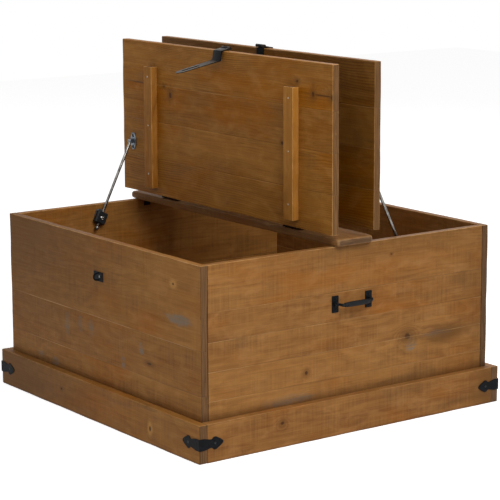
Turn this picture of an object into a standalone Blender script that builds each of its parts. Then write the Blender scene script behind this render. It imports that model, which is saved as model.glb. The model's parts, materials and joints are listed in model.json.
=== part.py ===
"""A square pine blanket chest with two lids that open from a fixed centre rail."""
import math

import bmesh
import bpy
from mathutils import Matrix, Vector

# Clearances
GAP = 0.0003              # between two pieces that touch
RUNNING = 0.0004          # round a pin or between knuckles
OVERRUN = 0.002           # how far a cutter passes through what it cuts
MITRE_SHARE = 0.5         # least share of full width that a sharp bend keeps

# Chest body
BODY_W = 0.859            # outside width, along X
BODY_D = 0.859            # outside depth, along Y
RIM_Z = 0.4476            # top edge of the four panels
PANEL_T = 0.0185          # panel thickness
PANEL_LIFT = 0.004        # panel's lower edge above the ground
BOARD_EDGE = 0.0012       # worn edge of a board

# Floor of the chest
CLEAT = 0.020             # square cleat
CLEAT_Z = 0.022           # underside of the cleats
FLOOR_T = 0.012           # plywood floor

# Plinth
PLINTH_H = 0.0905         # plinth board height
PLINTH_T = 0.0214         # plinth board thickness

# Centre rail and the angles that hold it
RAIL_HALF = 0.0525        # half the rail's width, along Y
RAIL_OVER = 0.0158        # how far rail and lids pass the side panels
LID_T = 0.0185            # lid thickness
SEAT = 0.0005             # closed lid above the rim
ANGLE_W = 0.019           # rail angle's width
ANGLE_LEG = 0.018         # rail angle's legs
ANGLE_T = 0.002           # rail angle's thickness
ANGLE_Y = -0.0235         # rail angle's place along Y, front left one

# Lids and their battens
LID_OVER = 0.020          # how far a shut lid passes the front or back panel
LID_JOINT = 0.002         # joint between closed lid and rail
BATTEN_IN = 0.1453        # batten centre from the lid's end
BATTEN_W = 0.036          # batten width
BATTEN_T = 0.018          # batten thickness
BATTEN_L = 0.3145         # batten length
BATTEN_START = 0.019      # batten's lower end from the hinge edge

# Hinges, two to a lid, screwed on the upper faces
KNUCKLE_R = 0.0042        # outside radius of the barrel
HINGE_PIN_R = 0.0018
PIN_INSET = 0.0045        # pin from the rail's edge
LEAF_T = 0.0016
LEAF_W = 0.024            # leaf from the pin to its outer edge
HINGE_L = 0.065
HINGE_IN = 0.1833         # hinge centre from the lid's end
KNUCKLE_COUNT = 5

# Lid stay
STAY_IN = 0.011           # rod's plane from the side panel's inner face
STAY_R = 0.140            # both pivots from the hinge pin
STAY_LUG = 0.0064         # lid pivot from the face of its plate
STAY_WALL_ANGLE = math.radians(24.6)   # wall pivot below the hinge pin
ROD_R = 0.0036
ROD_STOP = 0.0032         # rod's end piece from the housing when the lid is open
ROD_EYE_R = 0.0055
ROD_EYE_W = 0.007
ROD_END_R = 0.0048
ROD_END_L = 0.014
STAY_PIN_R = 0.002
HOUSING_L = 0.032         # along the rod
HOUSING_W = 0.032
HOUSING_T = 0.0144
HOUSING_EDGE = 0.003
WALL_PLATE_T = 0.003
BOSS_R = 0.004
BOSS_L = 0.0028
STAY_PLATE_H = 0.044
STAY_PLATE_W = 0.026
STAY_PLATE_T = 0.002
STAY_PLATE_SHIFT = 0.0035  # plate's centre from the rod's plane, inwards
STAY_SIDE_SHARE = 0.35    # straight part of the plate's side
STAY_END_SHARE = 0.40     # straight part of the plate's end
CHEEK_T = 0.0025
CHEEK_R = 0.005
ADJUSTER_R = 0.005
ADJUSTER_T = 0.0016

# Hasp on each lid
HASP_PLATE_W = 0.029
HASP_PLATE_L = 0.045
HASP_PLATE_T = 0.002
HASP_BARREL_R = 0.004
HASP_BARREL_L = 0.034
HASP_MID_L = 0.014        # middle knuckle, on the plate
HASP_PIN_R = 0.0019
HASP_SHOULDER = 0.0012    # plate's shoulder below the barrel
HASP_RELIEF = 0.0008      # strap's clearance round the middle knuckle
HASP_REACH = 0.0054       # barrel's centre past the lid's free edge
HASP_DROP = 0.0255        # strap's reach down past the lid's edge
HASP_SLOPE = 0.0085       # fall of the cranked part under the overhang
STRAP_T = 0.002
STRAP_L = 0.120           # slotted part of the strap
STRAP_ROOT_W = 0.0345
STRAP_TIP_W = 0.024
STRAP_DROOP = math.radians(11.4)       # how far the strap hangs back at rest
SLOT_L = 0.050
SLOT_W = 0.0085
# Share of the slotted part, and how much of the root's extra width is left there.
STRAP_TAPER_SHARES = ((0.25, 0.76), (0.90, 0.08))
# Share of the slotted part, and share of the tip's width at its rounded end.
STRAP_TIP_SHARES = ((0.955, 0.86), (0.985, 0.56), (1.0, 0.24))

# Staple under each hasp
STAPLE_Z = 0.354
STAPLE_PLATE_W = 0.041
STAPLE_PLATE_H = 0.023
STAPLE_PLATE_T = 0.0015
STRAP_CLEAR = 0.0004      # hanging strap in front of the staple plate
LOOP_R = 0.0085           # loop's centre line
LOOP_WIRE_R = 0.0019
LOOP_LEG = 0.0035
LOOP_STEPS = 8

# Lifting handle on each side
HANDLE_Z = 0.3115
HANDLE_PLATE_Y = 0.050
HANDLE_PLATE_W = 0.019
HANDLE_PLATE_H = 0.040
HANDLE_PLATE_T = 0.002
HANDLE_CLIP = 0.0012      # clipped corner of the plate
HANDLE_OUT = 0.0078       # pivot from the panel
LUG_R = 0.0048
LUG_W = 0.005
BAIL_PIN_R = 0.0025
BAIL_ARM_Y = 0.0432
BAIL_REACH = 0.0147
GRIP_R = 0.0065
GRIP_NECK_R = 0.0040
GRIP_END_SHARE = 0.80     # grip's end along the bail's arm
GRIP_NECK_SHARE = 0.92    # neck's start along the bail's arm
KNOB_R = 0.0042
KNOB_L = 0.004

# Corner brackets on the plinth
BRACKET_Z = 0.0452
BRACKET_T = 0.002
BRACKET_L = 0.065
# Distance from the corner as a share of the arm, and half height as a share of the half width.
BRACKET_HALF = 0.0147
BRACKET_SHAPE_SHARES = (
    (0.00, 0.93), (0.20, 0.93), (0.47, 0.66), (0.52, 0.66),
    (0.60, 1.00), (0.70, 1.00), (0.90, 0.50), (1.00, 0.14),
)

# Faces round a cylinder
ROUND = 16
SMALL_ROUND = 8

# Places worked out from the sizes above
WALL_X = BODY_W / 2
WALL_Y = BODY_D / 2
INNER_X = WALL_X - PANEL_T
INNER_Y = WALL_Y - PANEL_T
RAIL_LOW = RIM_Z + GAP
RAIL_TOP = RIM_Z + SEAT + LID_T
LID_X = WALL_X + RAIL_OVER
LID_L = WALL_Y + LID_OVER - RAIL_HALF - LID_JOINT
BATTEN_X = LID_X - BATTEN_IN
HINGE_X = LID_X - HINGE_IN
STAY_X = INNER_X - STAY_IN
PIN_RISE = KNUCKLE_R + GAP
PIN_Y = RAIL_HALF - PIN_INSET
PIN_Z = RAIL_TOP + PIN_RISE
LID_NEAR = PIN_INSET + LID_JOINT
LID_FAR = LID_NEAR + LID_L
LID_UNDER = -(PIN_RISE + LID_T)
STAY_FACE = LID_UNDER - GAP - STAY_PLATE_T
STAY_LID_ANGLE = math.asin((STAY_LUG - STAY_FACE) / STAY_R)
PLINTH_IN_X = WALL_X + GAP
PLINTH_OUT_X = PLINTH_IN_X + PLINTH_T
PLINTH_IN_Y = WALL_Y + GAP
PLINTH_OUT_Y = PLINTH_IN_Y + PLINTH_T
FLOOR_Z = CLEAT_Z + CLEAT + GAP

# Finishes: colour, roughness, metallic
PINE = ((0.42, 0.22, 0.08), 0.62, 0.0)
BATTEN_PINE = ((0.55, 0.27, 0.09), 0.60, 0.0)
PLYWOOD = ((0.38, 0.24, 0.12), 0.70, 0.0)
BLACK_IRON = ((0.02, 0.02, 0.02), 0.50, 0.8)
GREY_STEEL = ((0.30, 0.29, 0.27), 0.45, 0.9)
BRIGHT_STEEL = ((0.60, 0.59, 0.56), 0.28, 1.0)
ZINC = ((0.42, 0.42, 0.40), 0.42, 0.9)
BLACK_NYLON = ((0.03, 0.03, 0.03), 0.55, 0.0)


def clear_scene():
    for item in list(bpy.data.objects):
        bpy.data.objects.remove(item, do_unlink=True)


def empty(name, place, parent=None, tilt=0.0, turn=0.0):
    """An unseen pivot that pieces are parented to."""
    item = bpy.data.objects.new(name, None)
    bpy.context.scene.collection.objects.link(item)
    item.location = place
    item.rotation_euler = (tilt, 0.0, turn)
    item.parent = parent
    return item


def paint(name, finish):
    """The piece's own Principled material."""
    colour, roughness, metallic = finish
    material = bpy.data.materials.new(name + "_finish")
    material.use_nodes = True
    shader = material.node_tree.nodes["Principled BSDF"]
    shader.inputs["Base Color"].default_value = (*colour, 1.0)
    shader.inputs["Roughness"].default_value = roughness
    shader.inputs["Metallic"].default_value = metallic
    return material


def add(name, shape, finish, parent=None, edge=0.0):
    """Turn a finished bmesh into a named piece, with an optional worn edge."""
    bmesh.ops.recalc_face_normals(shape, faces=shape.faces)
    mesh = bpy.data.meshes.new(name)
    shape.to_mesh(mesh)
    shape.free()
    mesh.shade_smooth()
    mesh.set_sharp_from_angle(angle=math.radians(35))
    item = bpy.data.objects.new(name, mesh)
    bpy.context.scene.collection.objects.link(item)
    item.parent = parent
    if finish is not None:
        mesh.materials.append(paint(name, finish))
    if edge:
        bevel = item.modifiers.new("worn_edge", "BEVEL")
        bevel.width = edge
        bevel.segments = 1
        bevel.limit_method = "ANGLE"
    return item


def carve(item, shape, operation="DIFFERENCE"):
    """Cut a shape out of a piece, or join it on."""
    tool = add(item.name + "_tool", shape, None, item.parent)
    tool.hide_render = True
    tool.display_type = "WIRE"
    modifier = item.modifiers.new(operation.lower(), "BOOLEAN")
    modifier.operation = operation
    modifier.object = tool
    modifier.solver = "EXACT"


def box(shape, low, high):
    """A block between two corners."""
    low, high = Vector(low), Vector(high)
    place = Matrix.Translation((low + high) / 2)
    size = Matrix.Diagonal((*(high - low), 1.0))
    bmesh.ops.create_cube(shape, size=1.0, matrix=place @ size)
    return shape


def cylinder(shape, start, end, radius, sides=ROUND):
    """A round bar between two points."""
    start, end = Vector(start), Vector(end)
    along = end - start
    turn = along.to_track_quat("Z", "Y").to_matrix().to_4x4()
    bmesh.ops.create_cone(
        shape, cap_ends=True, segments=sides, radius1=radius, radius2=radius,
        depth=along.length, matrix=Matrix.Translation((start + end) / 2) @ turn)
    return shape


def loft(shape, rings):
    """A closed body through rings that have as many points each."""
    loops = [[shape.verts.new(point) for point in ring] for ring in rings]
    count = len(loops[0])
    for first, second in zip(loops, loops[1:]):
        for i in range(count):
            j = (i + 1) % count
            shape.faces.new((first[i], first[j], second[j], second[i]))
    shape.faces.new(loops[0])
    shape.faces.new(loops[-1])
    return shape


def prism(shape, outline, place):
    """An outline drawn out between two levels; place(a, b, level) gives each point."""
    return loft(shape, [[place(a, b, level) for a, b in outline] for level in (0, 1)])


def sweep(shape, path, radii, sides):
    """A bar of changing radius along a path in the XY plane."""
    rings = []
    for i, point in enumerate(path):
        before = (point - path[i - 1]).normalized() if i else None
        after = (path[i + 1] - point).normalized() if i < len(path) - 1 else None
        before = before or after
        after = after or before
        along = (before + after).normalized()
        across = Vector((-along.y, along.x, 0.0)) / max(along.dot(before), MITRE_SHARE)
        ring = []
        for k in range(sides):
            angle = math.tau * (k + 0.5) / sides
            ring.append(point + radii[i] * (across * math.cos(angle)
                                            + Vector((0, 0, 1)) * math.sin(angle)))
        rings.append(ring)
    return loft(shape, rings)


def board(name, low, high, parent=None, finish=PINE):
    """A sawn board with slightly worn edges."""
    return add(name, box(bmesh.new(), low, high), finish, parent, BOARD_EDGE)


def make_box():
    """Four panels, the floor on its cleats and the plinth boards."""
    inner = INNER_Y - GAP
    board("front_panel", (-WALL_X, -WALL_Y, PANEL_LIFT), (WALL_X, -INNER_Y, RIM_Z))
    board("back_panel", (-WALL_X, INNER_Y, PANEL_LIFT), (WALL_X, WALL_Y, RIM_Z))
    board("left_panel", (-WALL_X, -inner, PANEL_LIFT), (-INNER_X, inner, RIM_Z))
    board("right_panel", (INNER_X, -inner, PANEL_LIFT), (WALL_X, inner, RIM_Z))

    low, high = CLEAT_Z, CLEAT_Z + CLEAT
    reach_x, reach_y = INNER_X - GAP, INNER_Y - GAP
    end = reach_y - CLEAT - GAP
    for word, side in (("front", -1), ("back", 1)):
        near, far = sorted((side * reach_y, side * (reach_y - CLEAT)))
        board("cleat_" + word, (-reach_x, near, low), (reach_x, far, high))
    for word, side in (("left", -1), ("right", 1)):
        near, far = sorted((side * reach_x, side * (reach_x - CLEAT)))
        board("cleat_" + word, (near, -end, low), (far, end, high))
    board("floor_panel", (-reach_x, -reach_y, FLOOR_Z),
          (reach_x, reach_y, FLOOR_Z + FLOOR_T), finish=PLYWOOD)

    side_end = PLINTH_IN_Y - GAP
    board("plinth_front", (-PLINTH_OUT_X, -PLINTH_OUT_Y, 0), (PLINTH_OUT_X, -PLINTH_IN_Y, PLINTH_H))
    board("plinth_back", (-PLINTH_OUT_X, PLINTH_IN_Y, 0), (PLINTH_OUT_X, PLINTH_OUT_Y, PLINTH_H))
    board("plinth_left", (-PLINTH_OUT_X, -side_end, 0), (-PLINTH_IN_X, side_end, PLINTH_H))
    board("plinth_right", (PLINTH_IN_X, -side_end, 0), (PLINTH_OUT_X, side_end, PLINTH_H))


def make_rail():
    """The fixed rail between the lids, and the two small angles under its ends."""
    board("centre_rail", (-LID_X, -RAIL_HALF, RAIL_LOW), (LID_X, RAIL_HALF, RAIL_TOP))
    top = RAIL_LOW - GAP
    outline = ((0, 0), (ANGLE_LEG, 0), (ANGLE_LEG, ANGLE_T),
               (ANGLE_T, ANGLE_T), (ANGLE_T, ANGLE_LEG), (0, ANGLE_LEG))
    for word, side in (("left", -1), ("right", 1)):
        near = side * (INNER_X - GAP)

        def place(out, up, level, side=side, near=near):
            across = -side * (ANGLE_Y - ANGLE_W / 2 + ANGLE_W * level)
            return (near - side * out, across, top - up)

        add("rail_angle_" + word, prism(bmesh.new(), outline, place), BLACK_IRON)


def make_corner_bracket(name, side_x, side_y):
    """A black plate bent round a plinth corner, with spade ends."""
    inner_x, inner_y = PLINTH_OUT_X + GAP, PLINTH_OUT_Y + GAP
    rings = []
    stations = [(-share, half) for share, half in reversed(BRACKET_SHAPE_SHARES[1:])]
    stations += list(BRACKET_SHAPE_SHARES)
    for share, half_share in stations:
        half = half_share * BRACKET_HALF
        run = abs(share) * BRACKET_L
        ring = []
        for out, up in ((0, -half), (BRACKET_T, -half), (BRACKET_T, half), (0, half)):
            if share < 0:
                point = (inner_x - run, inner_y + out)
            elif share > 0:
                point = (inner_x + out, inner_y - run)
            else:
                point = (inner_x + out, inner_y + out)
            ring.append((side_x * point[0], side_y * point[1], BRACKET_Z + up))
        rings.append(ring)
    add(name, loft(bmesh.new(), rings), BLACK_IRON)


def make_corner_brackets():
    for end, side_y in (("front", -1), ("back", 1)):
        for word, side_x in (("left", -1), ("right", 1)):
            make_corner_bracket(f"corner_bracket_{end}_{word}", side_x, side_y)


def hinge_leaf(name, start, own, parent, place):
    """One leaf and its knuckles; place(x, out, up) says which way the leaf lies."""
    corners = place(start, 0.0, -KNUCKLE_R), place(start + HINGE_L, LEAF_W, LEAF_T - KNUCKLE_R)
    low = [min(pair) for pair in zip(*corners)]
    high = [max(pair) for pair in zip(*corners)]
    item = add(name, box(bmesh.new(), low, high), BLACK_IRON, parent)
    knuckles, reliefs = bmesh.new(), bmesh.new()
    pitch = HINGE_L / KNUCKLE_COUNT
    inset = RUNNING / 2
    for i in range(KNUCKLE_COUNT):
        near, far = start + i * pitch, start + (i + 1) * pitch
        if i % 2 == own:
            cylinder(knuckles, (near + inset, 0, 0), (far - inset, 0, 0), KNUCKLE_R)
        else:
            cylinder(reliefs, (near - inset, 0, 0), (far + inset, 0, 0), KNUCKLE_R + RUNNING)
    carve(item, knuckles, "UNION")
    carve(item, reliefs)
    return item


def make_hinges(end, fixed_pivot, lid_pivot):
    """Butt hinges on the upper faces of rail and lid; each pin is staked in its rail leaf."""
    for word, side in (("left", -1), ("right", 1)):
        start = side * HINGE_X - HINGE_L / 2
        name = f"{end}_hinge_{word}"
        rail_leaf = hinge_leaf(name + "_rail_leaf", start, 0, fixed_pivot,
                               lambda x, out, up: (x, out, up))
        lid_leaf = hinge_leaf(name + "_lid_leaf", start, 1, lid_pivot,
                              lambda x, out, up: (x, up, out))
        inside = KNUCKLE_R / 2
        pin = cylinder(bmesh.new(), (start + inside, 0, 0), (start + HINGE_L - inside, 0, 0),
                       HINGE_PIN_R)
        carve(rail_leaf, pin, "UNION")
        bore = cylinder(bmesh.new(), (start - OVERRUN, 0, 0), (start + HINGE_L + OVERRUN, 0, 0),
                        HINGE_PIN_R + RUNNING)
        carve(lid_leaf, bore)


def make_lid(end, lid_pivot):
    """The lid board and its two battens; Y is across the lid and Z along it."""
    under = LID_UNDER
    board(end + "_lid", (-LID_X, under, LID_NEAR), (LID_X, -PIN_RISE, LID_FAR), lid_pivot)
    low = LID_NEAR + BATTEN_START
    face = under - GAP - BATTEN_T
    for word, side in (("left", -1), ("right", 1)):
        near = side * BATTEN_X - BATTEN_W / 2
        board(f"{end}_batten_{word}", (near, face, low),
              (near + BATTEN_W, under - GAP, low + BATTEN_L), lid_pivot, BATTEN_PINE)


def make_stay(end, side_pivot, lid_pivot):
    """A steel rod that hangs from the lid and slides through a friction housing on the wall."""
    eye = Vector((-STAY_X, -STAY_R * math.sin(STAY_LID_ANGLE), STAY_R * math.cos(STAY_LID_ANGLE)))
    wall = Vector((-STAY_X, -STAY_R * math.cos(STAY_WALL_ANGLE),
                   -STAY_R * math.sin(STAY_WALL_ANGLE)))
    along = wall - eye
    rod_l = along.length + HOUSING_L / 2 + ROD_STOP + ROD_END_L
    tilt = math.atan2(along.y, -along.z)
    pin_place = Vector((0, -PIN_Y, PIN_Z))
    rod_pivot = empty(end + "_stay_rod_pivot", eye, lid_pivot, tilt)
    wall_pivot = empty(end + "_stay_wall_pivot", pin_place + wall, side_pivot)
    housing_pivot = empty(end + "_stay_housing_pivot", pin_place + wall, side_pivot, tilt)

    # Lid plate with two cheeks and a cross pin
    plate_x = -STAY_X + STAY_PLATE_SHIFT
    face = STAY_FACE + STAY_PLATE_T
    half_w, half_h = STAY_PLATE_W / 2, STAY_PLATE_H / 2
    side, top = half_h * STAY_SIDE_SHARE, half_w * STAY_END_SHARE
    outline = [(-half_w, -side), (-top, -half_h), (top, -half_h), (half_w, -side),
               (half_w, side), (top, half_h), (-top, half_h), (-half_w, side)]
    plate = prism(bmesh.new(), outline,
                  lambda a, b, level: (plate_x + a, face - STAY_PLATE_T * level, eye.z + b))
    lid_plate = add(end + "_stay_lid_plate", plate, ZINC, lid_pivot)
    cheeks = bmesh.new()
    inner = ROD_EYE_W / 2 + RUNNING
    arc = [math.pi * k / SMALL_ROUND for k in range(SMALL_ROUND + 1)]
    cheek = [(eye.z - CHEEK_R, face - STAY_PLATE_T / 2)]
    cheek += [(eye.z - CHEEK_R * math.cos(a), eye.y - CHEEK_R * math.sin(a)) for a in arc]
    cheek += [(eye.z + CHEEK_R, face - STAY_PLATE_T / 2)]
    for side in (-1, 1):
        start = -STAY_X + side * inner

        def place(up, across, level, start=start, side=side):
            return (start + side * CHEEK_T * level, across, up)

        prism(cheeks, cheek, place)
    carve(lid_plate, cheeks, "UNION")
    reach = inner + CHEEK_T / 2
    cross_pin = cylinder(bmesh.new(), eye - Vector((reach, 0, 0)), eye + Vector((reach, 0, 0)),
                         STAY_PIN_R)
    carve(lid_plate, cross_pin, "UNION")

    # Rod, hanging along the pivot's own -Z
    rod = add(end + "_stay_rod", cylinder(bmesh.new(), (0, 0, 0), (0, 0, -rod_l), ROD_R),
              BRIGHT_STEEL, rod_pivot)
    half = ROD_EYE_W / 2
    carve(rod, cylinder(bmesh.new(), (-half, 0, 0), (half, 0, 0), ROD_EYE_R), "UNION")
    carve(rod, cylinder(bmesh.new(), (0, 0, -rod_l + ROD_END_L), (0, 0, -rod_l - GAP), ROD_END_R),
          "UNION")
    bore_half = half + OVERRUN
    carve(rod, cylinder(bmesh.new(), (-bore_half, 0, 0), (bore_half, 0, 0), STAY_PIN_R + RUNNING))

    # Friction housing, with the rod's bore and a socket for the wall boss
    half_l, half_w, half_t = HOUSING_L / 2, HOUSING_W / 2, HOUSING_T / 2
    housing = add(end + "_stay_housing",
                  box(bmesh.new(), (-half_t, -half_w, -half_l), (half_t, half_w, half_l)),
                  BLACK_NYLON, housing_pivot, HOUSING_EDGE)
    end_z = half_l + OVERRUN
    carve(housing, cylinder(bmesh.new(), (0, 0, -end_z), (0, 0, end_z), ROD_R + RUNNING))
    wall_face = -(INNER_X - STAY_X) + GAP
    boss_end = wall_face + WALL_PLATE_T + BOSS_L
    carve(housing, cylinder(bmesh.new(), (-half_t - OVERRUN, 0, 0), (boss_end + GAP, 0, 0),
                            BOSS_R + RUNNING))
    add(end + "_stay_adjuster",
        cylinder(bmesh.new(), (half_t + GAP, 0, 0), (half_t + GAP + ADJUSTER_T, 0, 0), ADJUSTER_R),
        BRIGHT_STEEL, housing_pivot)

    # Wall plate with its boss
    wall_plate = prism(bmesh.new(), outline,
                       lambda a, b, level: (wall_face + WALL_PLATE_T * level, a, b))
    wall_item = add(end + "_stay_wall_plate", wall_plate, ZINC, wall_pivot)
    start = wall_face + WALL_PLATE_T / 2
    carve(wall_item, cylinder(bmesh.new(), (start, 0, 0), (boss_end, 0, 0), BOSS_R), "UNION")


def make_hasp(end, lid_pivot):
    """Plate on the lid's upper face, pin, and a cranked strap that hangs over the free edge."""
    barrel = Vector((0, -PIN_RISE, LID_FAR + HASP_REACH))
    low = -PIN_RISE + GAP
    half_w, half_tongue = HASP_PLATE_W / 2, HASP_MID_L / 2 - RUNNING
    shoulder = LID_FAR + HASP_REACH - HASP_BARREL_R - HASP_SHOULDER
    foot = LID_FAR - HASP_PLATE_L
    outline = ((-half_w, foot), (half_w, foot), (half_w, shoulder), (half_tongue, shoulder),
               (half_tongue, barrel.z), (-half_tongue, barrel.z), (-half_tongue, shoulder),
               (-half_w, shoulder))
    plate = add(end + "_hasp_plate",
                prism(bmesh.new(), outline,
                      lambda a, b, level: (a, low + HASP_PLATE_T * level, b)),
                BLACK_IRON, lid_pivot)
    reach = Vector((half_tongue, 0, 0))
    carve(plate, cylinder(bmesh.new(), barrel - reach, barrel + reach, HASP_BARREL_R), "UNION")
    past = Vector((HASP_BARREL_L, 0, 0))
    carve(plate, cylinder(bmesh.new(), barrel - past, barrel + past, HASP_PIN_R + RUNNING))

    pin_half = HASP_BARREL_L / 2
    pivot = empty(end + "_hasp_pivot", barrel, lid_pivot, STRAP_DROOP)
    add(end + "_hasp_pin",
        cylinder(bmesh.new(), (-pin_half, 0, 0), (pin_half, 0, 0), HASP_PIN_R, SMALL_ROUND),
        GREY_STEEL, pivot)

    # Strap: over the edge, back under the overhang, then straight and slotted
    front_of_panel = WALL_Y - PIN_Y
    strap_off = GAP + STAPLE_PLATE_T + STRAP_CLEAR + STRAP_T / 2
    back = front_of_panel + strap_off - barrel.z
    root = Vector((-(HASP_DROP + HASP_SLOPE), back))
    path = [Vector((-HASP_BARREL_R / 2, 0)), Vector((-HASP_DROP, 0)), root]
    widths = [HASP_BARREL_L, HASP_BARREL_L, STRAP_ROOT_W]
    for share, extra in STRAP_TAPER_SHARES:
        path.append(root + Vector((-STRAP_L * share, 0)))
        widths.append(STRAP_TIP_W + (STRAP_ROOT_W - STRAP_TIP_W) * extra)
    for share, narrow in STRAP_TIP_SHARES:
        path.append(root + Vector((-STRAP_L * share, 0)))
        widths.append(STRAP_TIP_W * narrow)
    rings = []
    for i, point in enumerate(path):
        before = (point - path[i - 1]).normalized() if i else (path[1] - path[0]).normalized()
        after = (path[i + 1] - point).normalized() if i < len(path) - 1 else before
        along = (before + after).normalized()
        across = Vector((-along.y, along.x)) * (STRAP_T / 2 / along.dot(before))
        half = widths[i] / 2
        one, two = point + across, point - across
        rings.append([(-half, one.x, one.y), (half, one.x, one.y),
                      (half, two.x, two.y), (-half, two.x, two.y)])
    strap = add(end + "_hasp_strap", loft(bmesh.new(), rings), GREY_STEEL, pivot)
    knuckles = bmesh.new()
    inner = HASP_MID_L / 2
    for side in (-1, 1):
        cylinder(knuckles, (side * inner, 0, 0), (side * pin_half, 0, 0), HASP_BARREL_R)
    carve(strap, knuckles, "UNION")
    carve(strap, cylinder(bmesh.new(), (-inner, 0, 0), (inner, 0, 0), HASP_BARREL_R + HASP_RELIEF))
    carve(strap, cylinder(bmesh.new(), -past, past, HASP_PIN_R + RUNNING))
    slot_mid = root.x - (barrel_drop() - HASP_DROP - HASP_SLOPE)
    carve(strap, box(bmesh.new(),
                     (-SLOT_W / 2, slot_mid - SLOT_L / 2, root.y - STRAP_T),
                     (SLOT_W / 2, slot_mid + SLOT_L / 2, root.y + STRAP_T)))


def barrel_drop():
    """How far the staple lies below the hasp's barrel when the lid is shut."""
    return PIN_Z - PIN_RISE - STAPLE_Z


def make_staple(end, side_pivot):
    """Plate on the panel with a loop that stands through the strap's slot."""
    face = -WALL_Y - GAP
    half_w, half_h = STAPLE_PLATE_W / 2, STAPLE_PLATE_H / 2
    add(end + "_staple_plate",
        box(bmesh.new(), (-half_w, face - STAPLE_PLATE_T, STAPLE_Z - half_h),
            (half_w, face, STAPLE_Z + half_h)),
        BLACK_IRON, side_pivot)
    start = -face + STAPLE_PLATE_T + GAP
    bend = start + LOOP_LEG
    path = [Vector((start, -LOOP_R, 0))]
    for k in range(LOOP_STEPS + 1):
        angle = math.pi * k / LOOP_STEPS
        path.append(Vector((bend + LOOP_R * math.sin(angle), -LOOP_R * math.cos(angle), 0)))
    path.append(Vector((start, LOOP_R, 0)))
    loop = sweep(bmesh.new(), path, [LOOP_WIRE_R] * len(path), SMALL_ROUND)
    # The path is drawn flat, then stood on edge in front of the plate.
    stand = Matrix(((0, 0, 1, 0), (-1, 0, 0, 0), (0, 1, 0, STAPLE_Z), (0, 0, 0, 1)))
    bmesh.ops.transform(loop, matrix=stand, verts=loop.verts)
    add(end + "_staple_loop", loop, BLACK_IRON, side_pivot)


def make_handle(word, side_pivot):
    """Two plates with lugs, and a bail with a thick grip that stands out level."""
    face = WALL_X + GAP
    pivot_x = WALL_X + HANDLE_OUT
    clip = HANDLE_CLIP
    half_w, half_h = HANDLE_PLATE_W / 2, HANDLE_PLATE_H / 2
    outline = [(-half_w, -half_h + clip), (-half_w + clip, -half_h), (half_w - clip, -half_h),
               (half_w, -half_h + clip), (half_w, half_h - clip), (half_w - clip, half_h),
               (-half_w + clip, half_h), (-half_w, half_h - clip)]
    for near_word, side in (("near", -1), ("far", 1)):
        middle = side * HANDLE_PLATE_Y

        def place(a, b, level, middle=middle):
            return (face + HANDLE_PLATE_T * level, middle + a, HANDLE_Z + b)

        item = add(f"{word}_handle_plate_{near_word}", prism(bmesh.new(), outline, place),
                   BLACK_IRON, side_pivot)
        low_y, high_y = middle - LUG_W / 2, middle + LUG_W / 2
        carve(item, box(bmesh.new(), (face + HANDLE_PLATE_T / 2, low_y, HANDLE_Z - LUG_R),
                        (pivot_x, high_y, HANDLE_Z + LUG_R)), "UNION")
        carve(item, cylinder(bmesh.new(), (pivot_x, low_y, HANDLE_Z), (pivot_x, high_y, HANDLE_Z),
                             LUG_R), "UNION")
        carve(item, cylinder(bmesh.new(), (pivot_x, low_y - OVERRUN, HANDLE_Z),
                             (pivot_x, high_y + OVERRUN, HANDLE_Z), BAIL_PIN_R + RUNNING))

    pivot = empty(word + "_handle_pivot", (pivot_x, 0, HANDLE_Z), side_pivot)
    lug_out = HANDLE_PLATE_Y + LUG_W / 2 + RUNNING
    grip_y = BAIL_ARM_Y * GRIP_END_SHARE
    half_path = [
        (0, lug_out + KNOB_L, KNOB_R), (0, lug_out + GAP, KNOB_R), (0, lug_out, BAIL_PIN_R),
        (0, BAIL_ARM_Y, BAIL_PIN_R), (BAIL_REACH, BAIL_ARM_Y, GRIP_NECK_R),
        (BAIL_REACH, BAIL_ARM_Y * GRIP_NECK_SHARE, GRIP_NECK_R), (BAIL_REACH, grip_y, GRIP_R)]
    full = [(x, -y, r) for x, y, r in half_path] + [(x, y, r) for x, y, r in reversed(half_path)]
    path = [Vector((x, y, 0)) for x, y, _ in full]
    add(word + "_handle", sweep(bmesh.new(), path, [r for _, _, r in full], SMALL_ROUND),
        BLACK_IRON, pivot)


def make_side(end, word, turn):
    """Everything that the front has at its lid and the back has turned half round."""
    side_pivot = empty(end + "_side", (0, 0, 0), turn=turn)
    lid_pivot = empty(end + "_lid_pivot", (0, -PIN_Y, PIN_Z), side_pivot)
    fixed_pivot = empty(end + "_hinge_pivot", (0, -PIN_Y, PIN_Z), side_pivot)
    make_lid(end, lid_pivot)
    make_hinges(end, fixed_pivot, lid_pivot)
    make_stay(end, side_pivot, lid_pivot)
    make_hasp(end, lid_pivot)
    make_staple(end, side_pivot)
    make_handle(word, side_pivot)


def main():
    clear_scene()
    make_box()
    make_rail()
    make_corner_brackets()
    make_side("front", "right", 0.0)
    make_side("back", "left", math.pi)


main()
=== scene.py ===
"""The looks of a two-lid pine blanket chest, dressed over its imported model."""
import json
import math

import bmesh
import bpy
from mathutils import Matrix, Vector, noise


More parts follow.
